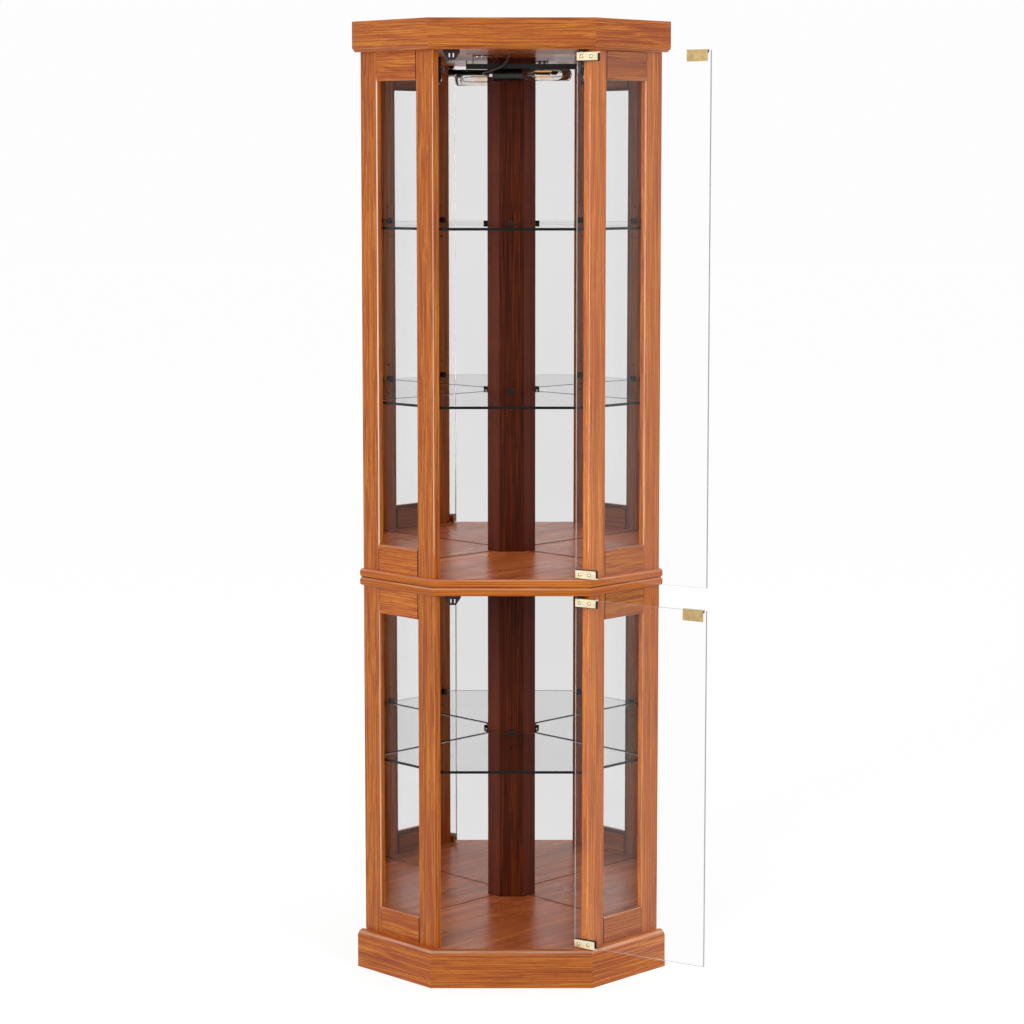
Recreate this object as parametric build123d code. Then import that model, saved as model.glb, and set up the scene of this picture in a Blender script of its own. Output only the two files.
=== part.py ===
from build123d import *
import math
import os

# Corner curio cabinet. Millimetres, +Z up, the two back walls meet on the Z axis,
# the front faces -Y and the floor is Z = 0. Right-hand pieces are drawn and mirrored to the left.

# Heights of the stack
total_height = 1800.0
plinth_height = 72.0
lower_opening_top = 742.0
mid_board_thickness = 16.0
cap_height = 56.0
upper_opening_bottom = lower_opening_top + 2 * mid_board_thickness
upper_opening_top = total_height - cap_height

# Plan of the body: front face, angled side faces and walls at 45 degrees
body_depth = 420.5
width_share = 0.67063
body_half_width = body_depth * width_share
front_half = 2 * body_half_width - body_depth
cap_overhang = 20.0
mid_overhang = 8.5
root2 = math.sqrt(2.0)
side_length = (body_depth - body_half_width) * root2
wall_length = body_half_width * root2

# Boards
board_thickness = 16.0
fascia_thickness = 15.0
mitre_reach = 60.0
mitre_angle = 22.5
rim_share = 1.2
cap_chamfer = 7.0
plinth_round = 12.0
mid_nose = 6.5

# Side panels: stiles and rails round a pane let into a rebate from the inside
panel_thickness = 15.0
stile_width = 45.0
rail_height = 50.0
crown_rail_height = 54.0
pane_thickness = 4.0
rebate_width = 8.0
pane_play = 1.0
edge_round = 3.0
edge_ease = 2.0

# Back walls
back_thickness = 5.0
mirror_thickness = 3.4
mirror_gap = 0.1
post_wall_width = 59.0
post_depth = 24.8
post_round = 1.5

# Glass shelves in clips: slotted heads on pins, with a spare hole above and below each
shelf_thickness = 5.0
shelf_lifts = {"top_shelf": 645.0, "middle_shelf": 317.0, "bottom_shelf": 334.0}
shelf_side_gap = 4.0
shelf_setback = 12.0
shelf_back_gap = 4.2
shelf_post_gap = 4.0
clip_width = 11.0
clip_height = 17.0
clip_length = 8.0
clip_backing = 2.8
clip_shank_radius = 2.5
clip_shank_length = 7.0
clip_inset = 22.0
hole_play = 0.1
hole_pitch = 32.0
slot_play = 0.1

# Frameless doors on pivot clamps
pivot_inset = 16.1
pivot_setback = 2.0
pivot_x = front_half - pivot_inset
pivot_y = pivot_setback - body_depth
open_angle = 31.0
door_pane = 5.0
door_side_gap = 8.4
door_reach = pivot_x + front_half - door_side_gap
door_tail = 8.6
door_floor_gap = 0.8
door_top_gap = 4.5
clamp_wall = 2.5
clamp_length = 43.0
clamp_height = 16.0
clamp_thickness = 10.0
clamp_setback = 1.0
clamp_lining = 0.5
clamp_round = 1.2
pivot_radius = 3.0
pivot_bite = 8.0
running_fit = 0.05
bushing_radius = 5.0
bushing_depth = 11.0
flange_radius = 6.5
flange_gap = 0.4

# Magnetic catches and the strike plates that meet them
catch_inset = 34.5
catch_x = catch_inset - front_half
catch_width = 30.0
catch_height = 18.0
catch_depth = 26.0
catch_taper = 9.0
catch_brow = 4.5
strike_length = 41.0
strike_height = 21.0
strike_sheet = 1.5
strike_return = 6.0
catch_air = 0.5

# Lamp under the top, placed from the ceiling and the cabinet's middle
lamp_y = -163.0
lamp_drop = 37.0
lamp_z = upper_opening_top - lamp_drop
holder_left = -34.0
holder_length = 55.0
holder_radius = 12.6
holder_rim = 1.2
holder_rim_length = 6.0
bulb_radius = 11.8
bulb_end = 115.0
bulb_base_radius = 7.4
bulb_base_length = 24.0
bulb_neck = 1.0
bulb_shoulder = 5.0
bulb_dome = 6.3
dome_pull = 0.55
socket_radius = 7.6
socket_depth = 26.0
bracket_sheet = 1.5
bracket_left = -74.0
bracket_width = 26.0
shield_left = -85.0
shield_right = 127.0
shield_width = 36.0
shield_drop = 17.0
shield_top = upper_opening_top - shield_drop
shield_lip = 9.0
tab_above = 6.55
tab_below = 12.55

# The lamp's lead: round tube through a hole in the ceiling
lead_radius = 2.5
lead_hole_radius = 4.0
lead_entry_x = -5.0
lead_entry_y = -194.0
lead_start_y = -30.0
lead_falls = [(-5.0, -194.0, 9.0), (-20.0, -193.0, 24.0), (-48.0, -187.0, 32.0), (-57.0, -163.0, 37.0)]
bend_share = 0.45


def outline(overhang, wall_inset=0.0):
    """Five-sided plan, grown past the body at the front and sides, clear of the walls by wall_inset."""
    front = body_depth + overhang
    spread = 2 * body_half_width + overhang * root2
    back = wall_inset * root2
    side_x = (spread - back) / 2
    half = [(0, -back), (side_x, -side_x - back), (spread - front, -front)]
    return half + [(-x, y) for x, y in reversed(half) if x > 0]


def prism(points, bottom, top):
    """Upright solid on a closed outline."""
    face = make_face(Polyline(*points, close=True))
    return Pos(0, 0, bottom) * extrude(face, top - bottom)


def exposed_edges(solid, level):
    """Edges at one level that don't lie along the back walls."""
    edges = solid.edges().filter_by(lambda e: abs(e.center().Z - level) < 0.01)
    return edges.filter_by(lambda e: abs(e.center().X) - e.center().Y > rim_share * body_half_width
                           and not wall_edge(e))


def wall_edge(edge):
    """True for an edge parallel to the wall on its own side."""
    tangent = edge.tangent_at(0.5)
    side = 1 if edge.center().X > 0 else -1
    return abs(tangent.X + side * tangent.Y) < 0.01 and abs(edge.center().X) > 5


def mirrored(solid):
    return mirror(solid, about=Plane.YZ)


def side_frame(along, inward=0.0, height=0.0):
    """Point on the right side panel, measured back from its front corner and in from its face."""
    front_x = 2 * body_half_width - body_depth
    return (front_x + (along - inward) / root2, -body_depth + (along + inward) / root2, height)


def wall_point(along, inward, height=0.0):
    """Point on the right wall, measured from the back corner and in from the wall."""
    return ((along - inward) / root2, -(along + inward) / root2, height)


def shelf_middles():
    """Height of each shelf's middle, from the floor of its own case."""
    floors = {"top_shelf": upper_opening_bottom, "middle_shelf": upper_opening_bottom, "bottom_shelf": plinth_height}
    return {name: floors[name] + lift for name, lift in shelf_lifts.items()}


def hole_levels(bottom, top):
    """Heights of the clip holes between two levels: one at each shelf and a spare above and below."""
    middles = [z for z in shelf_middles().values() if bottom < z < top]
    return [z + step * hole_pitch for z in middles for step in (-1, 0, 1)]


def stile_clip_places():
    """Distances from the front corner of the hole columns in the two stiles."""
    return [clip_inset, side_length - clip_inset]


def clip_hole(origin, direction):
    plane = Plane(origin=origin, z_dir=direction)
    radius = clip_shank_radius + hole_play
    return plane * Cylinder(radius, clip_shank_length + 1, align=(Align.CENTER, Align.CENTER, Align.MIN))


inward_side = (-1 / root2, 1 / root2, 0)
outward_side = (1 / root2, -1 / root2, 0)


def stile(start, bottom, top, rebate_at_end):
    """Upright of a side panel, rebated and rounded on the edge that faces the glass."""
    deep = panel_thickness - pane_thickness
    edge = start + stile_width
    lap = edge - rebate_width
    points = [(start, 0), (edge, 0), (edge, deep), (lap, deep), (lap, panel_thickness), (start, panel_thickness)]
    if not rebate_at_end:
        points = [(2 * start + stile_width - u, w) for u, w in points]
    face = make_face(Polyline(*points, close=True))
    for place, radius in ((points[0], edge_ease), (points[1], edge_round)):
        corner = face.vertices().sort_by(lambda v: (v.X - place[0]) ** 2 + (v.Y - place[1]) ** 2)[0]
        face = fillet(corner, radius)
    plane = Plane(origin=side_frame(0, 0, bottom), x_dir=(1 / root2, 1 / root2, 0), z_dir=(0, 0, 1))
    body = plane * extrude(face, top - bottom)
    column = stile_clip_places()[0 if rebate_at_end else 1]
    for level in hole_levels(bottom, top):
        body -= clip_hole(side_frame(column, panel_thickness, level), outward_side)
    return body


def rail(edge_z, away, height):
    """Cross piece of a side panel. edge_z is the edge at the glass, away is +1 for a top rail."""
    deep = panel_thickness - pane_thickness
    lap = edge_z + away * rebate_width
    far = edge_z + away * height
    points = [(0, edge_z), (deep, edge_z), (deep, lap), (panel_thickness, lap), (panel_thickness, far), (0, far)]
    face = make_face(Polyline(*points, close=True))
    corner = face.vertices().sort_by(lambda v: v.X ** 2 + (v.Y - edge_z) ** 2)[0]
    face = fillet(corner, edge_round)
    plane = Plane(origin=side_frame(stile_width), x_dir=inward_side, z_dir=(1 / root2, 1 / root2, 0))
    return plane * extrude(face, side_length - 2 * stile_width)


def side_pane(bottom, top):
    """Fixed glass of a side panel, flush with the inner face of its frame."""
    reach = rebate_width - pane_play
    width = side_length - 2 * stile_width + 2 * reach
    plane = Plane(origin=side_frame(side_length / 2, panel_thickness - pane_thickness / 2),
                  x_dir=(1 / root2, 1 / root2, 0), z_dir=(0, 0, 1))
    middle = (bottom + top) / 2
    return plane * Pos(0, 0, middle) * Box(width, pane_thickness, top - bottom + 2 * reach)


def side_panel(prefix, bottom, top, crown):
    """The five pieces of each angled side, right and left."""
    low = bottom + rail_height
    high = top - crown
    pieces = {
        "front_stile": stile(0, bottom, top, True),
        "rear_stile": stile(side_length - stile_width, bottom, top, False),
        "bottom_rail": rail(low, -1, rail_height),
        "top_rail": rail(high, 1, crown),
        "side_glass": side_pane(low, high),
    }
    out = {}
    for name, solid in pieces.items():
        out[f"{prefix}_right_{name}"] = solid
        out[f"{prefix}_left_{name}"] = mirrored(solid)
    return out


def wall_sheet(near, far, inner, thickness, bottom, top):
    """Flat sheet on the right wall between two distances from the back corner."""
    points = [wall_point(near, inner)[:2], wall_point(far, inner)[:2],
              wall_point(far, inner + thickness)[:2], wall_point(near, inner + thickness)[:2]]
    return prism(points, bottom, top)


def back_wall(prefix, bottom, top, panel_bottom, panel_top):
    """Backing board and mirror on each wall."""
    near = post_wall_width
    far = wall_length - panel_thickness
    panel = wall_sheet(near, far, 0, back_thickness, panel_bottom, panel_top)
    glass = wall_sheet(near, far, back_thickness + mirror_gap, mirror_thickness, bottom, top)
    return {
        f"{prefix}_right_back_panel": panel,
        f"{prefix}_left_back_panel": mirrored(panel),
        f"{prefix}_right_mirror": glass,
        f"{prefix}_left_mirror": mirrored(glass),
    }


def post_outline():
    """Corner post in plan: square to both walls, with a flat across its front."""
    wall = wall_point(post_wall_width, 0)[:2]
    front = wall_point(post_wall_width, post_depth)[:2]
    return [(0, 0), wall, front, (-front[0], front[1]), (-wall[0], wall[1])]


def corner_post(bottom, top, opening_bottom):
    """Post at the back corner, drilled for a clip behind each shelf."""
    post = prism(post_outline(), bottom, top)
    front_y = wall_point(post_wall_width, post_depth)[1]
    corners = post.edges().filter_by(Axis.Z).filter_by(lambda e: abs(e.center().Y - front_y) < 0.01)
    post = fillet(corners, post_round)
    for level in hole_levels(opening_bottom, top):
        post -= clip_hole((0, front_y, level), (0, 1, 0))
    return post


def shelf(middle):
    """Glass shelf that follows the sides and walls, cut across in front of the post."""
    spread = 2 * body_half_width - (panel_thickness + shelf_side_gap) * root2
    back = (back_thickness + mirror_gap + mirror_thickness + shelf_back_gap) * root2
    side_x = (spread - back) / 2
    front = body_depth - shelf_setback
    post_y = -wall_point(post_wall_width, post_depth)[1] + shelf_post_gap
    half = [(post_y - back, -post_y), (side_x, -side_x - back), (spread - front, -front)]
    points = half + [(-x, y) for x, y in reversed(half)]
    half_thickness = shelf_thickness / 2
    return prism(points, middle - half_thickness, middle + half_thickness)


def shelf_clip(origin, direction):
    """Clip that grips a shelf's edge: oval head, level slot, shank in the wood. direction points out of the wood."""
    plane = Plane(origin=origin, x_dir=(0, 0, 1), z_dir=direction)
    head = extrude(SlotOverall(clip_height, clip_width), clip_length)
    slot_height = shelf_thickness + 2 * slot_play
    reach = 2 * (clip_length - clip_backing)
    head -= Pos(0, 0, clip_length) * Box(slot_height, 2 * clip_width, reach)
    shank = Cylinder(clip_shank_radius, clip_shank_length, align=(Align.CENTER, Align.CENTER, Align.MAX))
    return plane * (head + shank)


def shelf_clips():
    clips = []
    post_front = wall_point(post_wall_width, post_depth)[1]
    for level in shelf_middles().values():
        for place in stile_clip_places():
            clip = shelf_clip(side_frame(place, panel_thickness, level), inward_side)
            clips += [clip, mirrored(clip)]
        clips.append(shelf_clip((0, post_front, level), (0, -1, 0)))
    return Compound(children=clips)


def inner_board(overhang, wall_inset, bottom):
    return prism(outline(overhang, wall_inset), bottom, bottom + board_thickness)


def edge_strips(prefix, bottom, top, cut):
    """Three mitred strips round the front and sides, shaped by cut along one outer edge."""
    ring = cut(prism(outline(cap_overhang), bottom, top))
    ring -= prism(outline(cap_overhang - fascia_thickness, -1), bottom - 1, top + 1)
    outer_front = body_depth + cap_overhang
    outer_x = 2 * body_half_width + cap_overhang * root2 - outer_front
    run = math.tan(math.radians(mitre_angle))
    reach = mitre_reach
    wedge = [(outer_x + reach * run, -outer_front - reach), (outer_x - reach * run, -outer_front + reach),
             (-outer_x + reach * run, -outer_front + reach), (-outer_x - reach * run, -outer_front - reach)]
    front_zone = prism(wedge, bottom - 1, top + 1)
    front = ring & front_zone
    sides = ring - front_zone
    right = [s for s in sides.solids() if s.center().X > 0][0]
    return {f"{prefix}_front": front, f"{prefix}_right": right, f"{prefix}_left": mirrored(right)}


def chamfered_foot(solid):
    return chamfer(exposed_edges(solid, upper_opening_top), cap_chamfer)


def rounded_head(solid):
    return fillet(exposed_edges(solid, plinth_height), plinth_round)


def bullnosed(bottom):
    """Board between the two cases with both outer edges rounded over."""
    board = prism(outline(mid_overhang), bottom, bottom + mid_board_thickness)
    board = fillet(exposed_edges(board, bottom), mid_nose)
    return fillet(exposed_edges(board, bottom + mid_board_thickness), mid_nose)


def bushing_hole(level, upward):
    """Bore for a pivot bushing, from a board's face into the board."""
    align = (Align.CENTER, Align.CENTER, Align.MIN if upward else Align.MAX)
    return Pos(pivot_x, pivot_y, level) * Cylinder(bushing_radius + running_fit, bushing_depth + 1, align=align)


def bushing(level, upward):
    """Plain sleeve for a pivot. The upper ones carry a flange below the board."""
    inner = pivot_radius + running_fit
    align = (Align.CENTER, Align.CENTER, Align.MIN if upward else Align.MAX)
    sleeve = Cylinder(bushing_radius, bushing_depth, align=align)
    if upward:
        thick = door_top_gap - flange_gap
        sleeve += Cylinder(flange_radius, thick, align=(Align.CENTER, Align.CENTER, Align.MAX))
    sleeve -= Cylinder(inner, 3 * bushing_depth)
    return Pos(pivot_x, pivot_y, level) * sleeve


def on_door(solid):
    """Places a piece drawn about the pivot, with the pane along +X, on the open door."""
    return Pos(pivot_x, pivot_y, 0) * Rot(0, 0, -open_angle) * solid


def door_clamp(pane_edge, outward, gap):
    """Channel over a pane's corner with its pivot pin. outward is +1 at the top of the door."""
    outer = pane_edge + outward * clamp_wall
    middle = outer - outward * clamp_height / 2
    left = -door_tail + clamp_setback
    centre = left + clamp_length / 2
    block = Pos(centre, 0, middle) * Box(clamp_length, clamp_thickness, clamp_height)
    uprights = block.edges().filter_by(Axis.X)
    block = fillet(uprights, clamp_round)
    slot_width = door_pane + 2 * clamp_lining
    slot_middle = pane_edge - outward * clamp_height / 2
    block -= Pos(centre, 0, slot_middle) * Box(clamp_length + 2, slot_width, clamp_height)
    length = gap + pivot_bite
    align = (Align.CENTER, Align.CENTER, Align.MIN if outward > 0 else Align.MAX)
    return block + Pos(0, 0, outer) * Cylinder(pivot_radius, length, align=align)


def strike_plate(pane_top):
    """Clip over the pane's free top corner whose long leg meets the catch."""
    middle = pivot_x - catch_x
    top = pane_top + strike_sheet
    half = door_pane / 2
    inner_leg = Pos(middle, -half - strike_sheet / 2, top - strike_height / 2)
    outer_leg = Pos(middle, half + strike_sheet / 2, top - strike_return / 2)
    bridge = Pos(middle, 0, pane_top + strike_sheet / 2)
    clip = inner_leg * Box(strike_length, strike_sheet, strike_height)
    clip += outer_leg * Box(strike_length, strike_sheet, strike_return)
    clip += bridge * Box(strike_length, door_pane, strike_sheet)
    return clip


def door(prefix, opening_bottom, opening_top):
    """Pane, two pivot clamps and the strike plate of one door."""
    low = opening_bottom + door_floor_gap + clamp_wall
    high = opening_top - door_top_gap - clamp_wall
    length = door_reach + door_tail
    pane = Pos((door_reach - door_tail) / 2, 0, (low + high) / 2) * Box(length, door_pane, high - low)
    return {
        f"{prefix}_door_pane": on_door(pane),
        f"{prefix}_door_top_clamp": on_door(door_clamp(high, 1, door_top_gap)),
        f"{prefix}_door_bottom_clamp": on_door(door_clamp(low, -1, door_floor_gap)),
        f"{prefix}_door_strike_plate": on_door(strike_plate(high)),
    }


def catch(ceiling):
    """Catch housing under a board, narrower towards its foot, with its face just behind the closed door."""
    face_y = pivot_y + door_pane / 2 + strike_sheet + catch_air
    half = catch_width / 2
    foot = half - catch_taper
    waist = ceiling - catch_brow
    low = ceiling - catch_height
    points = [(-half, ceiling), (-half, waist), (-foot, low), (foot, low), (half, waist), (half, ceiling)]
    plane = Plane(origin=(catch_x, face_y + catch_depth, 0), x_dir=(1, 0, 0), z_dir=(0, -1, 0))
    return plane * extrude(make_face(Polyline(*points, close=True)), catch_depth)


def sheet_box(x0, x1, y0, y1, z0, z1):
    return Pos((x0 + x1) / 2, (y0 + y1) / 2, (z0 + z1) / 2) * Box(x1 - x0, y1 - y0, z1 - z0)


def lamp_bracket():
    """Folded sheet: a plate under the ceiling, two legs, and a shield channel over the bulb."""
    t = bracket_sheet
    ceiling = upper_opening_top
    near = lamp_y - bracket_width / 2
    far = lamp_y + bracket_width / 2
    right = holder_left
    body = sheet_box(bracket_left, right, near, far, ceiling - t, ceiling)
    body += sheet_box(bracket_left, bracket_left + t, near, far, shield_top - t, ceiling)
    body += sheet_box(right - t, right, near, far, lamp_z - holder_radius, ceiling)
    front = lamp_y - shield_width / 2
    back = lamp_y + shield_width / 2
    body += sheet_box(shield_left, shield_right, front, back, shield_top - t, shield_top)
    for y in (front, back - t):
        body += sheet_box(shield_left, shield_right, y, y + t, shield_top - shield_lip, shield_top)
    body += sheet_box(shield_left - t, shield_left, near, far, shield_top - tab_below, shield_top + tab_above)
    return body


def lamp_holder():
    """Cylindrical holder on its side, with a rim at each end and an open mouth for the bulb."""
    middle = holder_left + holder_length / 2
    axis = Pos(middle, lamp_y, lamp_z) * Rot(0, 90, 0)
    body = axis * Cylinder(holder_radius - holder_rim, holder_length)
    for end in (-1, 1):
        ring = Pos(middle + end * (holder_length - holder_rim_length) / 2, lamp_y, lamp_z) * Rot(0, 90, 0)
        body += ring * Cylinder(holder_radius, holder_rim_length)
    mouth = Pos(holder_left + holder_length, lamp_y, lamp_z) * Rot(0, -90, 0)
    return body - mouth * Cylinder(socket_radius, socket_depth, align=(Align.CENTER, Align.CENTER, Align.MIN))


def lamp_bulb():
    """Tubular bulb: screw base in the holder, clear envelope with a domed end."""
    mouth = holder_left + holder_length
    foot = mouth - bulb_base_length
    straight_end = bulb_end - bulb_dome
    points = [(foot, 0), (foot, bulb_base_radius), (mouth + bulb_neck, bulb_base_radius),
              (mouth + bulb_shoulder, bulb_radius), (straight_end, bulb_radius)]
    nose = Bezier((straight_end, bulb_radius), (straight_end + bulb_dome * dome_pull, bulb_radius),
                  (bulb_end, bulb_radius * dome_pull), (bulb_end, 0))
    half = make_face(Polyline(*points) + nose + Line((bulb_end, 0), (foot, 0)))
    solid = revolve(half, Axis.X, 360)
    return Pos(0, lamp_y, lamp_z) * solid


def lead_route():
    """Centre line of the lamp's lead, from the open corner of the cap to the back of the holder."""
    hollow = upper_opening_top + board_thickness
    run_z = (hollow + total_height - board_thickness) / 2
    fall = [(x, y, upper_opening_top - drop) for x, y, drop in lead_falls]
    inlet = (holder_left - bracket_sheet, lamp_y, lamp_z)
    return [(0, lead_start_y, run_z), (lead_entry_x, lead_entry_y, run_z)] + fall + [inlet]


def lead_radii(points):
    """Bend radii: a share of the shorter run beside each corner over the tangent of half the turn."""
    radii = []
    for before, at, after in zip(points, points[1:], points[2:]):
        inward = Vector(*at) - Vector(*before)
        outward = Vector(*after) - Vector(*at)
        half_turn = math.radians(inward.get_angle(outward)) / 2
        radii.append(bend_share * min(inward.length, outward.length) / math.tan(half_turn))
    return radii


def lamp_lead():
    points = lead_route()
    radii = lead_radii(points)
    cavity = total_height - board_thickness - (upper_opening_top + board_thickness)
    radii[0] = min(radii[0], cavity / 2)
    path = FilletPolyline(*points, radius=radii)
    section = Plane(origin=path @ 0, z_dir=path % 0) * Circle(lead_radius)
    return sweep(section, path)


def boards():
    """Cap, mid boards and base with the bores for the bushings and the lamp's lead."""
    inset = cap_overhang - fascia_thickness
    ceiling = inner_board(inset, back_thickness, upper_opening_top) - bushing_hole(upper_opening_top, True)
    ceiling -= Pos(lead_entry_x, lead_entry_y, upper_opening_top) * Cylinder(lead_hole_radius, 4 * board_thickness)
    floor = bullnosed(lower_opening_top + mid_board_thickness) - bushing_hole(upper_opening_bottom, False)
    lower_top = bullnosed(lower_opening_top) - bushing_hole(lower_opening_top, True)
    base = inner_board(inset, back_thickness, plinth_height - board_thickness)
    base -= prism(post_outline(), 0, plinth_height + 1)
    return {
        "cap_top_board": inner_board(inset, back_thickness, total_height - board_thickness),
        "ceiling_board": ceiling,
        "upper_floor_board": floor,
        "lower_top_board": lower_top,
        "base_board": base - bushing_hole(plinth_height, False),
    }


def build():
    nodes = boards()
    nodes.update(edge_strips("cap_fascia", upper_opening_top, total_height, chamfered_foot))
    nodes.update(edge_strips("plinth", 0, plinth_height, rounded_head))
    nodes.update(side_panel("upper", upper_opening_bottom, upper_opening_top, crown_rail_height))
    nodes.update(side_panel("lower", plinth_height, lower_opening_top, rail_height))
    nodes.update(back_wall("upper", upper_opening_bottom, upper_opening_top, upper_opening_bottom, total_height))
    nodes.update(back_wall("lower", plinth_height, lower_opening_top, 0, lower_opening_top))
    nodes["upper_corner_post"] = corner_post(upper_opening_bottom, upper_opening_top, upper_opening_bottom)
    nodes["lower_corner_post"] = corner_post(0, lower_opening_top, plinth_height)
    for name, middle in shelf_middles().items():
        nodes[name] = shelf(middle)
    nodes["shelf_clips"] = shelf_clips()
    nodes.update(door("upper", upper_opening_bottom, upper_opening_top))
    nodes.update(door("lower", plinth_height, lower_opening_top))
    tops = (upper_opening_top, lower_opening_top)
    floors = (upper_opening_bottom, plinth_height)
    nodes["hinge_top_bushings"] = Compound(children=[bushing(z, True) for z in tops])
    nodes["hinge_bottom_bushings"] = Compound(children=[bushing(z, False) for z in floors])
    nodes["door_catches"] = Compound(children=[catch(z) for z in tops])
    nodes["lamp_bracket"] = lamp_bracket()
    nodes["lamp_holder"] = lamp_holder()
    nodes["lamp_bulb"] = lamp_bulb()
    nodes["lamp_lead"] = lamp_lead()
    return nodes


os.makedirs("parts", exist_ok=True)
for node, shape in build().items():
    export_step(shape, f"parts/{node}.step")
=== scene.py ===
import math

import bmesh
import bpy
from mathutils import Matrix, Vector


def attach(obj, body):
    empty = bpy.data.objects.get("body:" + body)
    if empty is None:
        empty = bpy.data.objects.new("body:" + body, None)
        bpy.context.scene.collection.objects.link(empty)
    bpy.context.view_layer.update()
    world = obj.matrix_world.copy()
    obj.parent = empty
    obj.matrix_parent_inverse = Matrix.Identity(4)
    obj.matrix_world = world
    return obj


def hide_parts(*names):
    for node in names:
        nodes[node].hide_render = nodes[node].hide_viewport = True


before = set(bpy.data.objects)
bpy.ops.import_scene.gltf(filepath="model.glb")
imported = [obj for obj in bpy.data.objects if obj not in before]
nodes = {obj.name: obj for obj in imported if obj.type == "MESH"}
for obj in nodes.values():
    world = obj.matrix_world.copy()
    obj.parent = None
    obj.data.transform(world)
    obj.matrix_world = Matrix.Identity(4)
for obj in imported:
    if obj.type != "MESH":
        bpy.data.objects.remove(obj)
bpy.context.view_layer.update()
scene = bpy.context.scene

MM = 0.001
DIAGONAL = math.sqrt(0.5)

# Places that the frame gives, in millimetres, with the doors' angle in degrees
PIVOT = (127.4, -418.5)
OPEN_ANGLE = 31.0
DOOR_ENDS = {"upper": (777.3, 1737.0), "lower": (75.3, 735.0)}
PANE = 5.0
CLAMP_START = -7.6
CLAMP_LENGTH = 43.0
CLAMP_THICKNESS = 10.0
CLAMP_HEIGHT = 16.0
CLAMP_WALL = 2.5
CEILINGS = {"upper": 1744.0, "lower": 742.0}
CATCH_X = -109.0
CATCH_FACE_Y = -414.0
LAMP_Y = -163.0
LAMP_Z = 1707.0
HOLDER_LEFT = -34.0
HOLDER_RIGHT = 21.0
BULB_END = 115.0
BULB_RADIUS = 11.8
BULB_WALL = 0.8

# Heights that the frame gives, in metres: the side panes' foot and head, and the floors
GLASS_HEIGHTS = ((0.122, 0.708), (0.824, 1.690))
FLOOR_TOPS = (0.072, 0.774)

# Sizes of the added pieces, in millimetres
CLAMP_SCREW_PLACES = (1.5, 21.5)
CLAMP_SCREW_RADIUS = 2.8
CLAMP_SCREW_RISE = 0.9
RIM_RADIUS = 3.5
RIM_RISE = 0.1
GASKET_GAP = 0.02
GASKET_THICKNESS = 0.46
GASKET_PAST_START = 0.6
GASKET_PAST_END = 1.2
GASKET_PAST_LIP = 0.9
POLE_SHIFT = 3.6
POLE_HALF_WIDTH = 1.1
POLE_RANGE = (14.0, 6.5)
POLE_THICKNESS = 0.35
POLE_ROUNDING = 0.08
BRACKET_SCREWS_X = (-66.0, -57.0)
BRACKET_SCREW_RADIUS = 3.2
BRACKET_SCREW_RISE = 5.2
BULB_DOME = 7.0
STICK_START = 47.0
STICK_END = 77.0
STICK_RADIUS = 1.25
STICK_ROWS = ((3.4, 6.4), (-3.4, 6.4), (3.4, -3.9), (-3.4, -3.9))
NEAR_WIRE_RADIUS = 0.4
FAR_WIRE_RADIUS = 0.5
LEAD_ROUTE = ((0, -30, 1772), (-4.9, -182, 1772), (-5, -194, 1769), (-5, -194, 1735), (-20, -193, 1720),
              (-48, -187, 1712), (-57, -163, 1707), (-35.5, -163, 1707))
LEAD_RADIUS = 2.5

# Directions of the grain, as turns of the X axis
UPRIGHT = (0, math.radians(90), 0)
CROSSWAYS = (0, 0, 0)
RIGHT_SIDE = (0, 0, math.radians(45))
LEFT_SIDE = (0, 0, math.radians(-45))

# Sizes of the wood print's layers along and across the grain, in metres
DRIFT = (0.34, 0.045)
BANDS = (0.70, 0.020)
LINES = (0.24, 0.0020)
STREAKS = (0.12, 0.0012)
PORES = (0.014, 0.0010)

# Where most of a noise texture's values lie
NOISE_SPAN = (0.3, 0.7)

FRONT = (0, -1, 0)
UP = (0, 0, 1)


def srgb(red, green, blue):
    """Linear colour of a display colour from 0 to 255."""
    out = []
    for value in (red, green, blue):
        value /= 255
        out.append(value / 12.92 if value <= 0.04045 else ((value + 0.055) / 1.055) ** 2.4)
    return (*out, 1)


def grey(value):
    return srgb(value, value, value)


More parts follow.
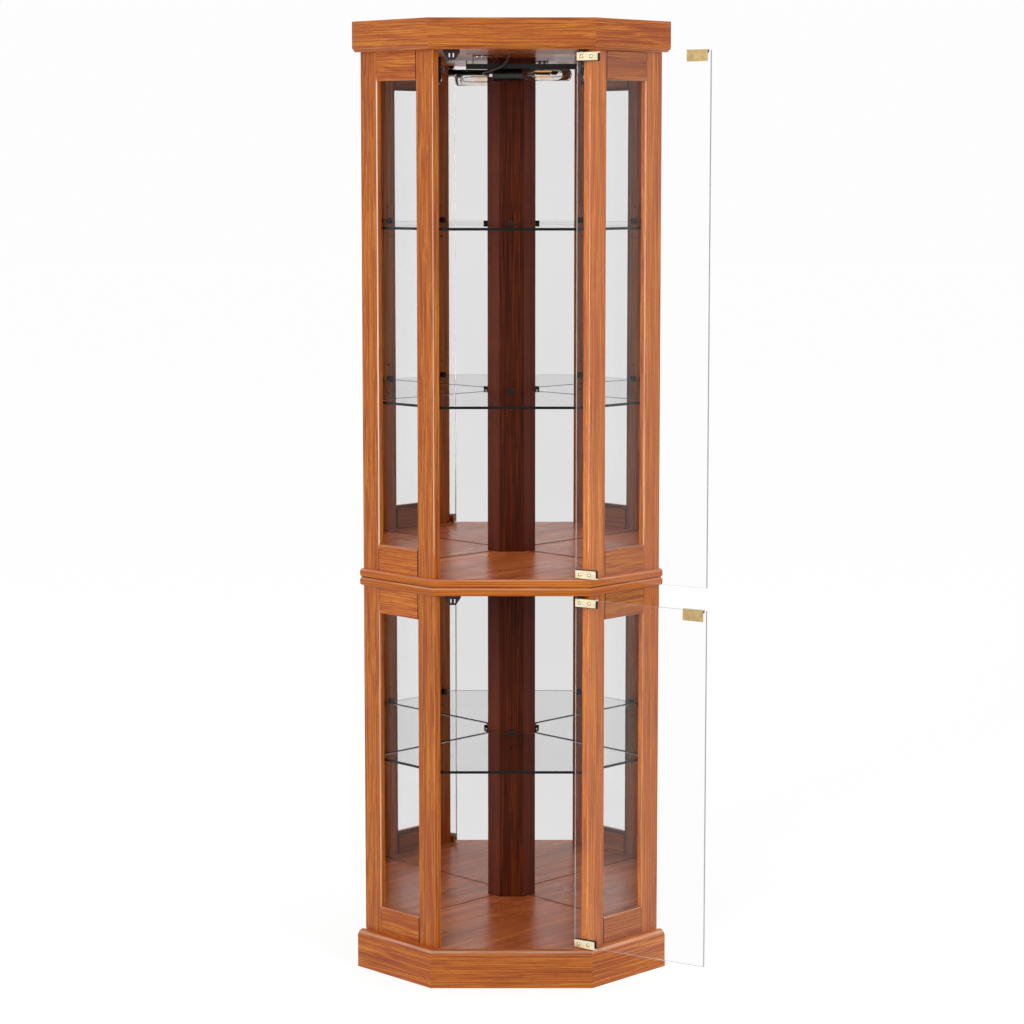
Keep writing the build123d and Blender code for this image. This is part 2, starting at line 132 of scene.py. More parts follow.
class Shader:
    """A material's node tree, with short ways to add and link nodes."""

    def __init__(self, name):
        self.material = bpy.data.materials.new(name)
        self.material.use_nodes = True
        self.tree = self.material.node_tree
        self.tree.nodes.clear()
        self.output = self.add("ShaderNodeOutputMaterial")
        self.main = self.add("ShaderNodeBsdfPrincipled")
        self.link(self.main.outputs["BSDF"], self.output.inputs["Surface"])

    def add(self, kind, **settings):
        node = self.tree.nodes.new(kind)
        for key, value in settings.items():
            setattr(node, key, value)
        return node

    def link(self, source, target):
        self.tree.links.new(source, target)

    def feed(self, socket, value):
        """Links a socket, or sets a plain value on it."""
        if isinstance(value, bpy.types.NodeSocket):
            self.link(value, socket)
        else:
            socket.default_value = value

    def give(self, **values):
        """Feeds sockets of the main shader, by name with _ for a space."""
        for key, value in values.items():
            self.feed(self.main.inputs[key.replace("_", " ")], value)

    def place(self, turn, size):
        """Object coordinates along a turned grain frame, divided by a size in metres along each axis."""
        coords = self.add("ShaderNodeTexCoord")
        info = self.add("ShaderNodeObjectInfo")
        shift = self.math("MULTIPLY", info.outputs["Random"], 7.0)
        moved = self.add("ShaderNodeVectorMath", operation="ADD")
        self.link(coords.outputs["Object"], moved.inputs[0])
        self.link(shift, moved.inputs[1])
        mapping = self.add("ShaderNodeMapping", vector_type="TEXTURE")
        self.link(moved.outputs[0], mapping.inputs["Vector"])
        mapping.inputs["Rotation"].default_value = turn
        mapping.inputs["Scale"].default_value = size
        return mapping.outputs[0]

    def noise(self, vector, detail, rough, distortion=0.0):
        node = self.add("ShaderNodeTexNoise")
        self.link(vector, node.inputs["Vector"])
        node.inputs["Scale"].default_value = 1.0
        node.inputs["Detail"].default_value = detail
        node.inputs["Roughness"].default_value = rough
        node.inputs["Distortion"].default_value = distortion
        return node.outputs["Fac"]

    def mottle(self, size, detail, rough, distortion=0.0):
        """Noise of the same size in every direction."""
        return self.noise(self.place((0, 0, 0), (size, size, size)), detail, rough, distortion)

    def grain(self, turn, size, detail, rough, drift=None, amount=0.0):
        """Noise drawn out along the grain, moved sideways by another noise value."""
        along, across = size
        vector = self.place(turn, (along, across, across))
        if drift is not None:
            moved = self.add("ShaderNodeVectorMath", operation="MULTIPLY_ADD")
            self.link(drift, moved.inputs[0])
            moved.inputs[1].default_value = (0, amount, amount)
            self.link(vector, moved.inputs[2])
            vector = moved.outputs[0]
        return self.noise(vector, detail, rough)

    def math(self, operation, first, second=0.5, clamp=False):
        node = self.add("ShaderNodeMath", operation=operation, use_clamp=clamp)
        self.feed(node.inputs[0], first)
        self.feed(node.inputs[1], second)
        return node.outputs[0]

    def spread(self, value, low, high, to_low=0.0, to_high=1.0):
        """Maps a range of a value on to another, clamped."""
        node = self.add("ShaderNodeMapRange")
        self.link(value, node.inputs["Value"])
        for name, number in (("From Min", low), ("From Max", high), ("To Min", to_low), ("To Max", to_high)):
            node.inputs[name].default_value = number
        return node.outputs["Result"]

    def between(self, noise, low, high):
        """Numbers from low to high that follow a noise value."""
        return self.spread(noise, *NOISE_SPAN, low, high)

    def ramp(self, value, stops):
        node = self.add("ShaderNodeValToRGB")
        self.link(value, node.inputs["Fac"])
        elements = node.color_ramp.elements
        while len(elements) < len(stops):
            elements.new(0.5)
        for element, (position, colour) in zip(elements, stops):
            element.position = position
            element.color = colour
        return node.outputs["Color"]

    def tones(self, noise, low, high):
        """Colours from low to high that follow a noise value."""
        return self.ramp(noise, list(zip(NOISE_SPAN, (low, high))))

    def blend(self, amount, first, second, mode="MIX"):
        node = self.add("ShaderNodeMix", data_type="RGBA", blend_type=mode)
        self.feed(node.inputs["Factor"], amount)
        self.feed(node.inputs["A"], first)
        self.feed(node.inputs["B"], second)
        return node.outputs["Result"]

    def bump(self, height, distance, strength):
        node = self.add("ShaderNodeBump")
        node.inputs["Strength"].default_value = strength
        node.inputs["Distance"].default_value = distance
        self.link(height, node.inputs["Height"])
        return node.outputs["Normal"]

    def dot(self, first, second):
        node = self.add("ShaderNodeVectorMath", operation="DOT_PRODUCT")
        self.feed(node.inputs[0], first)
        self.feed(node.inputs[1], second)
        return node.outputs["Value"]

    def along(self, direction):
        """How far along a direction of the object a point lies, in metres."""
        return self.dot(self.add("ShaderNodeTexCoord").outputs["Object"], direction)

    def facing(self, direction):
        """How far the surface faces along a direction of the object, from -1 to 1."""
        return self.dot(self.add("ShaderNodeTexCoord").outputs["Normal"], direction)

    def facing_either(self, direction):
        """How far the surface faces along a direction of the object, from 0 to 1 either way."""
        return self.math("ABSOLUTE", self.facing(direction))

    def let_lamps_through(self, colour):
        """Lets the light of lamps pass, as clear glass does."""
        path = self.add("ShaderNodeLightPath")
        clear = self.add("ShaderNodeBsdfTransparent")
        clear.inputs["Color"].default_value = colour
        self.surface(path.outputs["Is Shadow Ray"], self.main.outputs["BSDF"], clear.outputs["BSDF"])

    def surface(self, share, first, second):
        """Makes the surface a mix of two shaders."""
        mix = self.add("ShaderNodeMixShader")
        self.link(share, mix.inputs["Fac"])
        self.link(first, mix.inputs[1])
        self.link(second, mix.inputs[2])
        self.link(mix.outputs["Shader"], self.output.inputs["Surface"])


OAK = {
    "dark": srgb(156, 71, 20),
    "middle": srgb(189, 97, 27),
    "light": srgb(210, 128, 40),
    "streak": srgb(136, 59, 25),
    "pore": srgb(104, 44, 24),
}
POST = {
    "dark": srgb(54, 19, 8),
    "middle": srgb(70, 26, 10),
    "light": srgb(100, 42, 15),
    "streak": srgb(44, 15, 7),
    "pore": srgb(32, 12, 7),
}
FLOOR = {
    "dark": srgb(160, 76, 38),
    "middle": srgb(184, 94, 46),
    "light": srgb(208, 122, 64),
    "streak": srgb(142, 66, 36),
    "pore": srgb(124, 58, 34),
}
# Colour of the painted highlights on rounded edges
PAINTED_HIGHLIGHT = srgb(252, 228, 206)
# Painted light: lighter tone for the post's flanks that turn from the front
POST_FLANK_LIGHT = srgb(100, 50, 38)
WOOD_JOINT = srgb(70, 32, 16)
MIRROR_FOOT = srgb(64, 60, 58)
SHELF_EDGE = (srgb(18, 42, 32), srgb(38, 66, 54))
SIDE_EDGE = (srgb(70, 92, 84), srgb(104, 126, 116))
DOOR_EDGE = (srgb(184, 190, 188), srgb(204, 208, 206))

SATIN = 0.34
WORN_AND_LIT_EDGE = 0.0011
WOOD_COAT_ROUGHNESS = 0.12
EDGE_ROUGHNESS = 0.22


def tones_with_painted_light(tones, factor):
    """The same tones, lighter or darker by a factor: painted light and shade for faces that the lamps light more
    or less.
    """
    return {key: (*(factor * value for value in colour[:3]), 1) for key, colour in tones.items()}


def wood_colour(shader, turn, tones, band_share=0.22):
    """Wood-grain print: tone bands, long wavy lines along the grain, fine streaks, and short pores."""
    drift = shader.grain(turn, DRIFT, 2.0, 0.5)
    bands = shader.grain(turn, BANDS, 3.0, 0.55, drift, 1.2)
    lines = shader.grain(turn, LINES, 2.0, 0.6, drift, 6.0)
    streaks = shader.grain(turn, STREAKS, 3.0, 0.6, drift, 10.0)
    pores = shader.grain(turn, PORES, 2.0, 0.5)
    mixed = shader.math("ADD", shader.math("MULTIPLY", lines, 1 - band_share),
                        shader.math("MULTIPLY", bands, band_share))
    base = shader.ramp(mixed, [(0.40, tones["dark"]), (0.49, tones["middle"]), (0.60, tones["light"])])
    lined = shader.blend(shader.spread(streaks, 0.51, 0.62, 0.0, 0.72), base, tones["streak"])
    pore_mask = shader.spread(pores, 0.58, 0.68, 0.0, 0.45)
    return shader.blend(pore_mask, lined, tones["pore"]), streaks, pore_mask


def level_colour(shader):
    """Lines that run level round the front and sides, whichever way an edge turns."""
    layers = []
    for length, breadth in (LINES, STREAKS):
        join = shader.add("ShaderNodeCombineXYZ")
        shader.link(shader.math("DIVIDE", shader.along((1, 0, 0)), length), join.inputs["X"])
        shader.link(shader.math("DIVIDE", shader.along(UP), breadth), join.inputs["Z"])
        layers.append(shader.noise(join.outputs[0], 3.0, 0.6, 0.3))
    lines, streaks = layers
    base = shader.ramp(lines, [(0.36, OAK["dark"]), (0.49, OAK["middle"]), (0.64, OAK["light"])])
    return shader.blend(shader.spread(streaks, 0.50, 0.68, 0.0, 0.5), base, OAK["streak"])


def worn_and_lit_edge(shader, amount):
    """A mask that is light along convex edges, broken up by noise: partly wear, partly a painted highlight."""
    geometry = shader.add("ShaderNodeNewGeometry")
    bevel = shader.add("ShaderNodeBevel", samples=4)
    bevel.inputs["Radius"].default_value = WORN_AND_LIT_EDGE
    turned_away = shader.dot(bevel.outputs["Normal"], geometry.outputs["Normal"])
    bend = shader.spread(turned_away, 0.995, 0.86, 0.0, amount)
    patchy = shader.mottle(0.03, 4.0, 0.65)
    return shader.math("MULTIPLY", bend, shader.spread(patchy, 0.35, 0.62, 0.25, 1.0))


def painted_top_highlight(shader):
    """Painted highlight: a faint pale line where a rounded edge turns from upright to level, where overhead light
    would gleam.
    """
    up = shader.facing(UP)
    broken = shader.noise(shader.place((0, 0, 0), (0.09, 0.09, 0.004)), 3.0, 0.6)
    highlight_band = shader.math("MULTIPLY", shader.spread(up, 0.45, 0.65), shader.spread(up, 0.92, 0.78))
    return shader.math("MULTIPLY", highlight_band, shader.between(broken, 0.12, 0.42))


def painted_upright_highlight(shader, highlight_strengths):
    """Painted highlight: a pale line down a rounded upright edge that faces the front, beside the lower and the
    upper pane.
    """
    broken = shader.noise(shader.place((0, 0, 0), (0.004, 0.004, 0.16)), 3.0, 0.6)
    height = shader.along(UP)
    shown = 0.0
    for (low, high), strength in zip(GLASS_HEIGHTS, highlight_strengths):
        rise = shader.spread(height, low - 0.012, low + 0.004)
        fall = shader.spread(height, high + 0.012, high - 0.004, 0.0, strength)
        shown = shader.math("ADD", shader.math("MULTIPLY", rise, fall), shown)
    highlight_band = shader.math("MULTIPLY", shader.spread(shader.facing(FRONT), 0.88, 0.97), shown)
    return shader.math("MULTIPLY", highlight_band, shader.spread(broken, 0.3, 0.6, 0.6, 1.0))


def joint_line(shader, turn, distance):
    """Dark line where a rail meets a stile, at a distance along the side from its front corner."""
    place = shader.along((math.cos(turn[2]), math.sin(turn[2]), 0))
    away = shader.math("ABSOLUTE", shader.math("SUBTRACT", place, distance))
    return shader.spread(away, 0.0009, 0.0004, 0.0, 0.75)


def foot_line(shader):
    """Dark line along the foot of a mirror, where its cut edge stands on a floor."""
    height = shader.along(UP)
    shown = 0.0
    for level in FLOOR_TOPS:
        away = shader.math("ABSOLUTE", shader.math("SUBTRACT", height, level))
        shown = shader.math("ADD", shader.spread(away, 0.0019, 0.0012, 0.0, 0.7), shown)
    return shown


def wood(name, turn, tones, wear_and_sheen=0.15, gleam=0.3, line=(), front=1.0, joints=()):
    """Satin wood-grain laminate with its grain along a turned X axis.

    line has the strengths of the painted highlight down its upright roundings, in the lower and the upper half.
    front darkens its narrow face to the front by a factor, as a painted shade. joints are dark lines across the
    grain, as distances along the side.
    """
    shader = Shader(name)
    colour, streaks, pores = wood_colour(shader, turn, tones)
    if tones is POST:
        # Painted light: the post's flanks, turned from the front, are lighter
        lit_flank = shader.spread(shader.facing_either(FRONT), 0.98, 0.86, 0.0, 0.6)
        colour = shader.blend(lit_flank, colour, POST_FLANK_LIGHT)
    # Convex edges lighter: partly wear, partly a painted highlight
    colour = shader.blend(worn_and_lit_edge(shader, wear_and_sheen), colour, tones["light"])
    if tones is not POST:
        # Painted highlight along the upward-turning rounded edges
        colour = shader.blend(painted_top_highlight(shader), colour, PAINTED_HIGHLIGHT)
    if front < 1:
        # Painted shade: the narrow face to the front is darkened
        shaded_front_strip = shader.spread(shader.facing(FRONT), 0.975, 0.99)
        colour = shader.blend(shaded_front_strip, colour, (front, front, front, 1), "MULTIPLY")
    if line:
        # Painted highlight down the rounded upright edge
        colour = shader.blend(painted_upright_highlight(shader, line), colour, PAINTED_HIGHLIGHT)
    for distance in joints:
        colour = shader.blend(joint_line(shader, turn, distance), colour, WOOD_JOINT)
    smears = shader.mottle(0.11, 3.0, 0.6, 0.4)
    gloss = shader.between(smears, SATIN - 0.05, SATIN + 0.07)
    relief = shader.math("SUBTRACT", shader.math("MULTIPLY", streaks, 0.3), pores)
    shader.give(
        Base_Color=colour,
        Roughness=shader.math("ADD", gloss, shader.math("MULTIPLY", pores, 0.2)),
        Normal=shader.bump(relief, 0.00012, 0.6),
        Specular_IOR_Level=gleam,
        Coat_Weight=gleam * 0.25,
        Coat_Roughness=WOOD_COAT_ROUGHNESS,
    )
    return shader.material


def board_wood(name, tones, shine=0.25, gleam=0.22):
    """Boards: diagonal grain on the flat faces, level grain round the shaped edges."""
    shader = Shader(name)
    flat, streaks, pores = wood_colour(shader, RIGHT_SIDE, tones, 0.55)
    share = shader.spread(shader.facing_either(UP), 0.80, 0.97)
    colour = shader.blend(share, level_colour(shader), flat)
    smears = shader.mottle(0.13, 3.0, 0.6, 0.4)
    gloss = shader.between(smears, shine, shine + 0.09)
    shader.give(
        # Painted highlight along the upward-turning rounded edges
        Base_Color=shader.blend(painted_top_highlight(shader), colour, PAINTED_HIGHLIGHT),
        Roughness=shader.math("ADD", gloss, shader.math("MULTIPLY", pores, 0.15)),
        Normal=shader.bump(shader.math("MULTIPLY", streaks, 0.5), 0.0001, 0.4),
        Specular_IOR_Level=gleam,
        Coat_Weight=gleam * 0.18,
        Coat_Roughness=WOOD_COAT_ROUGHNESS,
    )
    return shader.material


def hardboard():
    """Brown pressed fibre board."""
    shader = Shader("hardboard")
    fibre = shader.mottle(0.004, 6.0, 0.7, 1.5)
    cloud = shader.between(shader.mottle(0.15, 3.0, 0.5), 0.0, 0.4)
    base = shader.tones(fibre, srgb(134, 96, 62), srgb(172, 130, 88))
    shader.give(Base_Color=shader.blend(cloud, base, srgb(146, 104, 68)), Roughness=0.8,
                Normal=shader.bump(fibre, 0.0004, 0.7))
    return shader.material


def glass(name, face_direction, edge_tones, ior, clear=255, edge_clear=1.0):
    """Clear float glass, with another tone where its cut edges show, and edges that may be less clear."""
    shader = Shader(name)
    face = shader.spread(shader.facing_either(face_direction), 0.80, 0.95)
    film = shader.mottle(0.05, 4.0, 0.6)
    edge_rough = shader.spread(face, 0.0, 1.0, EDGE_ROUGHNESS, 0.0)
    smudge = shader.spread(film, 0.55, 0.8, 0.0, 0.004)
    shader.give(
        Base_Color=shader.blend(face, shader.tones(film, *edge_tones), grey(clear)),
        Roughness=shader.math("ADD", edge_rough, smudge),
        Transmission_Weight=shader.spread(face, 0.0, 1.0, edge_clear, 1.0) if edge_clear < 1 else 1.0,
        IOR=ior,
    )
    shader.let_lamps_through((0.95, 0.96, 0.96, 1))
    return shader.material


def mirror_glass():
    """Silvered glass with a little unevenness."""
    shader = Shader("mirror")
    film = shader.mottle(0.3, 3.0, 0.5)
    silver = shader.tones(film, (0.865, 0.86, 0.86, 1), (0.885, 0.88, 0.88, 1))
    shader.give(Base_Color=shader.blend(foot_line(shader), silver, MIRROR_FOOT),
                Roughness=shader.between(film, 0.0, 0.012), Metallic=1.0)
    return shader.material


def brass(name, low, high, fleck, rub_turn):
    """Brushed and lacquered brass plate with darker flecks."""
    shader = Shader(name)
    rub = shader.grain((0, 0, rub_turn), (0.02, 0.0006), 4.0, 0.6)
    haze = shader.mottle(0.010, 4.0, 0.6)
    flecks = shader.spread(shader.mottle(0.0028, 3.0, 0.6), 0.55, 0.68, 0.0, 0.6)
    rough = shader.math("ADD", shader.between(rub, 0.18, 0.34), shader.spread(haze, 0.4, 0.7, 0.0, 0.1))
    shader.give(Base_Color=shader.blend(flecks, shader.tones(haze, low, high), fleck), Roughness=rough,
                Normal=shader.bump(rub, 0.00003, 0.5), Metallic=1.0)
    return shader.material


def speckled(name, low, high, rough_low, rough_high, size=0.003, **plain):
    """Moulded or painted surface with fine mottling in colour, gloss and relief."""
    shader = Shader(name)
    grain = shader.mottle(size, 4.0, 0.6)
    shader.give(Base_Color=shader.tones(grain, low, high), Roughness=shader.between(grain, rough_low, rough_high),
                Normal=shader.bump(grain, 0.00005, 0.6), **plain)
    return shader.material


def bulb_glass():
    """Thin clear glass of the bulb and its stem."""
    shader = Shader("bulb_glass")
    film = shader.mottle(0.012, 3.0, 0.5)
    shader.give(Base_Color=shader.tones(film, srgb(236, 234, 232), srgb(250, 249, 248)),
                Roughness=shader.spread(film, 0.4, 0.8, 0.0, 0.04), Transmission_Weight=1.0, IOR=1.2)
    shader.let_lamps_through((0.92, 0.92, 0.92, 1))
    return shader.material


def glowing_filament_coat():
    """Amber coat of an unlit lamp filament stick, with a painted glow although the lamp is off."""
    shader = Shader("filament")
    grain = shader.mottle(0.002, 2.0, 0.5)
    colour = shader.tones(grain, srgb(226, 146, 36), srgb(244, 178, 62))
    # Painted glow: the unlit filament gives off light
    shader.give(Base_Color=colour, Roughness=shader.between(grain, 0.35, 0.5), Emission_Color=colour,
                Emission_Strength=0.5)
    return shader.material


DOOR_FACE = (math.sin(math.radians(OPEN_ANGLE)), math.cos(math.radians(OPEN_ANGLE)), 0)
RIGHT_JOINTS = (-0.1509, -0.0450)
LEFT_JOINTS = (0.1509, 0.0450)

MATERIALS = {
    # line sets the painted highlight down each stile's rounded edge
    "left_rear_stile": wood("oak_left_rear", UPRIGHT, OAK, line=(0.45, 0.95)),
    "left_front_stile": wood("oak_left_front", UPRIGHT, OAK, line=(0.08, 0.52)),
    # Painted shade on this stile's narrow face to the front
    "right_front_stile": wood("oak_right_front", UPRIGHT, OAK, line=(0.10, 0.22), front=0.82),
    "right_rear_stile": wood("oak_right_rear", UPRIGHT, OAK, line=(0.12, 0.26)),
    # Painted light and shade: faces turned other ways take the same oak, lighter or darker
    "front": wood("oak_crossways", CROSSWAYS, tones_with_painted_light(OAK, 0.91)),
    "right": wood("oak_right_side", RIGHT_SIDE, tones_with_painted_light(OAK, 1.06)),
    "left": wood("oak_left_side", LEFT_SIDE, tones_with_painted_light(OAK, 1.03)),
    "right_rail": wood("oak_right_rail", RIGHT_SIDE, tones_with_painted_light(OAK, 0.80), joints=RIGHT_JOINTS),
    "left_rail": wood("oak_left_rail", LEFT_SIDE, tones_with_painted_light(OAK, 1.08), joints=LEFT_JOINTS),
    "board": board_wood("oak_board", FLOOR),
    "cap_top": board_wood("oak_cap_top", FLOOR, 0.55, 0.06),
    # Painted light: the upper floor takes a lighter copy of the floor tones
    "upper_floor": board_wood("oak_upper_floor", tones_with_painted_light(FLOOR, 1.3)),
    "post": wood("post_wood", UPRIGHT, POST, wear_and_sheen=0.1, gleam=0.06),
    "hardboard": hardboard(),
    "shelf_glass": glass("shelf_glass", UP, SHELF_EDGE, 1.3, clear=229),
    "right_glass": glass("right_side_glass", (DIAGONAL, -DIAGONAL, 0), SIDE_EDGE, 1.2),
    "left_glass": glass("left_side_glass", (DIAGONAL, DIAGONAL, 0), SIDE_EDGE, 1.2),
    "door_glass": glass("door_glass", DOOR_FACE, DOOR_EDGE, 1.27, edge_clear=0.25),
    "mirror": mirror_glass(),
    "brass": brass("brass", srgb(238, 220, 178), srgb(252, 242, 214), srgb(196, 172, 120),
                   math.radians(-OPEN_ANGLE)),
    "strike_brass": brass("strike_brass", srgb(182, 154, 104), srgb(200, 174, 126), srgb(166, 140, 92), 0.4),
    "black_plastic": speckled("black_plastic", srgb(16, 15, 15), srgb(30, 28, 27), 0.42, 0.60,
                              Specular_IOR_Level=0.25),
    "catch_plastic": speckled("catch_plastic", srgb(34, 18, 20), srgb(52, 30, 32), 0.5, 0.65,
                              Specular_IOR_Level=0.25),
    "black_metal": speckled("black_metal", srgb(10, 10, 10), srgb(20, 19, 19), 0.36, 0.5,
                            Specular_IOR_Level=0.35),
    "holder_plastic": speckled("holder_plastic", srgb(12, 13, 13), srgb(22, 24, 24), 0.18, 0.30),
    "steel": speckled("steel", (0.62, 0.62, 0.61, 1), (0.80, 0.79, 0.77, 1), 0.18, 0.34, size=0.001,
                      Metallic=1.0),
    "gasket": speckled("gasket", srgb(12, 20, 16), srgb(22, 30, 26), 0.5, 0.7, Specular_IOR_Level=0.3),
    "lead": speckled("lead_rubber", srgb(58, 48, 42), srgb(84, 70, 62), 0.38, 0.55),
    "bulb_glass": bulb_glass(),
    "filament": glowing_filament_coat(),
}

# Words in the nodes' names and the looks that they stand for. The first that fits counts.
LOOKS = (
    ("mirror", "mirror"),
    ("back_panel", "hardboard"),
    ("corner_post", "post"),
    ("left_rear_stile", "left_rear_stile"),
    ("left_front_stile", "left_front_stile"),
    ("right_front_stile", "right_front_stile"),
    ("right_rear_stile", "right_rear_stile"),
    ("_shelf", "shelf_glass"),
    ("door_pane", "door_glass"),
    ("clamp", "brass"),
    ("strike", "strike_brass"),
    ("upper_floor", "upper_floor"),
    ("cap_top", "cap_top"),
    ("_board", "board"),
    ("catches", "catch_plastic"),
    ("bushings", "black_plastic"),
    ("shelf_clips", "black_plastic"),
    ("bracket", "black_metal"),
    ("holder", "holder_plastic"),
    ("lamp_bulb", "bulb_glass"),
    ("lamp_lead", "lead"),
)


def material_of(node):
    """Which look a node of the frame has."""
    for word, look in LOOKS:
        if word in node:
            return look
    side = "right" if "right" in node else "left" if "left" in node else "front"
    if "side_glass" in node:
        return side + "_glass"
    return side + "_rail" if "rail" in node else side


for node, thing in nodes.items():
    thing.data.materials.clear()
    thing.data.materials.append(MATERIALS[material_of(node)])


def add_object(name, data):
    """Puts an object with these data in the scene."""
    thing = bpy.data.objects.new(name, data)
    scene.collection.objects.link(thing)
    return thing


def add_mesh(name, mesh, look, body, smooth=False):
    """Makes a piece of a bmesh, gives it a look and lets it ride on a body."""
    data = bpy.data.meshes.new(name)
    bmesh.ops.recalc_face_normals(mesh, faces=mesh.faces)
    mesh.to_mesh(data)
    mesh.free()
    if smooth:
        data.shade_smooth()
    data.materials.append(MATERIALS[look])
    thing = add_object(name, data)
    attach(thing, body)
    return thing


def turned(mesh, profile, axis_point, axis, steps):
    """Adds a surface of revolution. profile is (along, radius) from end to end, in millimetres."""
    direction = Vector(axis).normalized()
    side = direction.orthogonal().normalized()
    other = direction.cross(side)
    rings = []
    for along, radius in profile:
        centre = Vector(axis_point) + direction * along * MM
        if radius == 0:
            rings.append([mesh.verts.new(centre)])
            continue
        ring = []
        for step in range(steps):
            angle = 2 * math.pi * step / steps
            outward = math.cos(angle) * side + math.sin(angle) * other
            ring.append(mesh.verts.new(centre + radius * MM * outward))
        rings.append(ring)
    for first, second in zip(rings, rings[1:]):
        for step in range(steps):
            after = (step + 1) % steps
            if len(first) == 1:
                mesh.faces.new([first[0], second[step], second[after]])
            elif len(second) == 1:
                mesh.faces.new([first[after], first[step], second[0]])
            else:
                mesh.faces.new([first[after], first[step], second[step], second[after]])


def screw(mesh, place, outward, radius, rise):
    """Domed screw head with a round recess, standing on a face."""
    profile = [(0, 0), (0, radius), (rise * 0.45, radius * 0.96), (rise * 0.8, radius * 0.74),
               (rise, radius * 0.46), (rise * 0.25, radius * 0.40), (rise * 0.2, 0)]
    turned(mesh, profile, place, outward, 20)


def plate(mesh, corners, thickness, direction, round_off=0.0):
    """Thin plate on four corners, grown along a direction, with its edges eased. Sizes in millimetres."""
    shift = Vector(direction).normalized() * thickness * MM
    low = [mesh.verts.new(c) for c in corners]
    high = [mesh.verts.new(Vector(c) + shift) for c in corners]
    made = [mesh.faces.new(low[::-1]), mesh.faces.new(high)]
    count = len(corners)
    for i in range(count):
        after = (i + 1) % count
        made.append(mesh.faces.new([low[i], low[after], high[after], high[i]]))
    if round_off:
        edges = {edge for face in made for edge in face.edges}
        bmesh.ops.bevel(mesh, geom=list(edges), offset=round_off * MM, segments=2, affect="EDGES", profile=0.6)


def on_door(x, y, z):
    """Point on the open door from one drawn about the pivot with the pane along +X, in millimetres."""
    angle = math.radians(-OPEN_ANGLE)
    return Vector((
        PIVOT[0] + x * math.cos(angle) - y * math.sin(angle),
        PIVOT[1] + x * math.sin(angle) + y * math.cos(angle),
        z,
    )) * MM


def clamp_screws(door, body):
    """Two countersunk screws in the inner face of each clamp, each in a dark rim."""
    screws = bmesh.new()
    rims = bmesh.new()
    rim = [(0, 0), (0, RIM_RADIUS), (RIM_RISE, RIM_RADIUS - RIM_RISE), (RIM_RISE, 0)]
    low, high = DOOR_ENDS[door]
    outward = on_door(0, -1, 0) - on_door(0, 0, 0)
    for level in (high + CLAMP_WALL - CLAMP_HEIGHT / 2, low - CLAMP_WALL + CLAMP_HEIGHT / 2):
        for along in CLAMP_SCREW_PLACES:
            place = on_door(along, -CLAMP_THICKNESS / 2, level)
            turned(rims, rim, place, outward, 24)
            screw(screws, place, outward, CLAMP_SCREW_RADIUS, CLAMP_SCREW_RISE)
    add_mesh(f"{door}_door_clamp_screws", screws, "brass", body)
    add_mesh(f"{door}_door_clamp_rims", rims, "gasket", body)


def clamp_gasket(body, name, edge, outward):
    """Black lining between the pane and the clamp, proud of the clamp at its ends and lips."""
    mesh = bmesh.new()
    gap = PANE / 2 + GASKET_GAP
    start = CLAMP_START - GASKET_PAST_START
    end = CLAMP_START + CLAMP_LENGTH + GASKET_PAST_END
    lip = edge - outward * (CLAMP_HEIGHT - CLAMP_WALL + GASKET_PAST_LIP)
    for side in (-1, 1):
        corners = [on_door(start, side * gap, edge), on_door(end, side * gap, edge),
                   on_door(end, side * gap, lip), on_door(start, side * gap, lip)]
        plate(mesh, corners, GASKET_THICKNESS, on_door(0, side, 0) - on_door(0, 0, 0))
    add_mesh(name, mesh, "gasket", body)


def pole_plates(name, ceiling):
    """Two steel plates in the front of a magnetic catch."""
    mesh = bmesh.new()
    low, high = (ceiling - drop for drop in POLE_RANGE)
    for middle in (CATCH_X - POLE_SHIFT, CATCH_X + POLE_SHIFT):
        left, right = middle - POLE_HALF_WIDTH, middle + POLE_HALF_WIDTH
        corners = [Vector((x, CATCH_FACE_Y, z)) * MM
                   for x, z in ((left, low), (right, low), (right, high), (left, high))]
        plate(mesh, corners, POLE_THICKNESS, FRONT, POLE_ROUNDING)
    add_mesh(name, mesh, "steel", "cabinet")


def bracket_screws():
    """Two screws that hold the lamp's bracket to the ceiling."""
    mesh = bmesh.new()
    for x in BRACKET_SCREWS_X:
        place = Vector((x, LAMP_Y - 8, CEILINGS["upper"] - 1.5)) * MM
        screw(mesh, place, (0, 0, -1), BRACKET_SCREW_RADIUS, BRACKET_SCREW_RISE)
    add_mesh("lamp_bracket_screws", mesh, "steel", "cabinet")


def lamp_point(x, y=0.0, z=0.0):
    """Point from the lamp's own axis, in millimetres."""
    return Vector((x, LAMP_Y + y, LAMP_Z + z)) * MM


def turned_on_lamp(mesh, profile, steps, start=(0, 0, 0)):
    turned(mesh, profile, lamp_point(*start), (1, 0, 0), steps)


def bulb():
    """Thin glass envelope with a domed end."""
    dome_start = BULB_END - BULB_DOME
    outer = [(HOLDER_RIGHT - 22, 7.2), (HOLDER_RIGHT - 1, 7.3), (HOLDER_RIGHT + 2, 8.4),
             (HOLDER_RIGHT + 6, BULB_RADIUS)]
    for step in range(9):
        angle = math.radians(10 * step)
        outer.append((dome_start + BULB_DOME * math.sin(angle), BULB_RADIUS * math.cos(angle)))
    inner = [(x - (BULB_WALL if x > dome_start else 0), r - BULB_WALL) for x, r in outer]
    outer.append((BULB_END, 0))
    inner.append((BULB_END - BULB_WALL, 0))
    mesh = bmesh.new()
    for profile in (outer, inner[::-1], [inner[0], outer[0]]):
        turned_on_lamp(mesh, profile, 40)
    bmesh.ops.remove_doubles(mesh, verts=mesh.verts, dist=1e-5)
    envelope = add_mesh("lamp_bulb_envelope", mesh, "bulb_glass", "cabinet", smooth=True)
    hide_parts("lamp_bulb")


